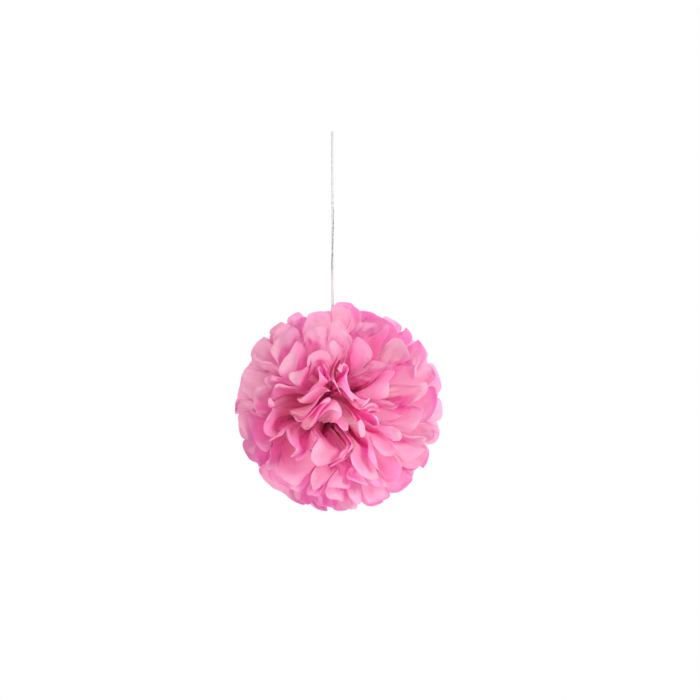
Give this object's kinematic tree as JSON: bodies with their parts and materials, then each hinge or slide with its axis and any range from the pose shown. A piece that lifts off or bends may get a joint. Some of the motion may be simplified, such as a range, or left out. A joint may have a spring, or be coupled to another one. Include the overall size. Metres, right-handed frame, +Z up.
{
  "type": "tissue paper pom pom",
  "caption": "Round ruffled ball of pleated tissue sheets, tied at its waist with florist wire and hung on a narrow ribbon.",
  "frame": {"origin": "the middle of the ribbon's cut upper end, where the pom pom is held; the ball's waist is 541 mm straight below it", "axes": "+Z up along the ribbon, -Y towards the viewer through the front pole of the ruffles, X along the folded strip"},
  "size_m": [0.4066, 0.4071, 0.7458],
  "materials": {
    "tissue": "matte",
    "wire": "satin",
    "ribbon": "satin"
  },
  "bodies": {
    "root": {"tissue_sheet_01": "tissue", "tissue_sheet_02": "tissue", "tissue_sheet_03": "tissue", "tissue_sheet_04": "tissue", "tissue_sheet_05": "tissue", "tissue_sheet_06": "tissue", "tissue_sheet_07": "tissue", "tissue_sheet_08": "tissue", "tissue_sheet_09": "tissue", "tissue_sheet_10": "tissue", "wire_tie": "wire", "ribbon_tie": "ribbon", "hanging_ribbon": "ribbon"}
  },
  "joints": []
}
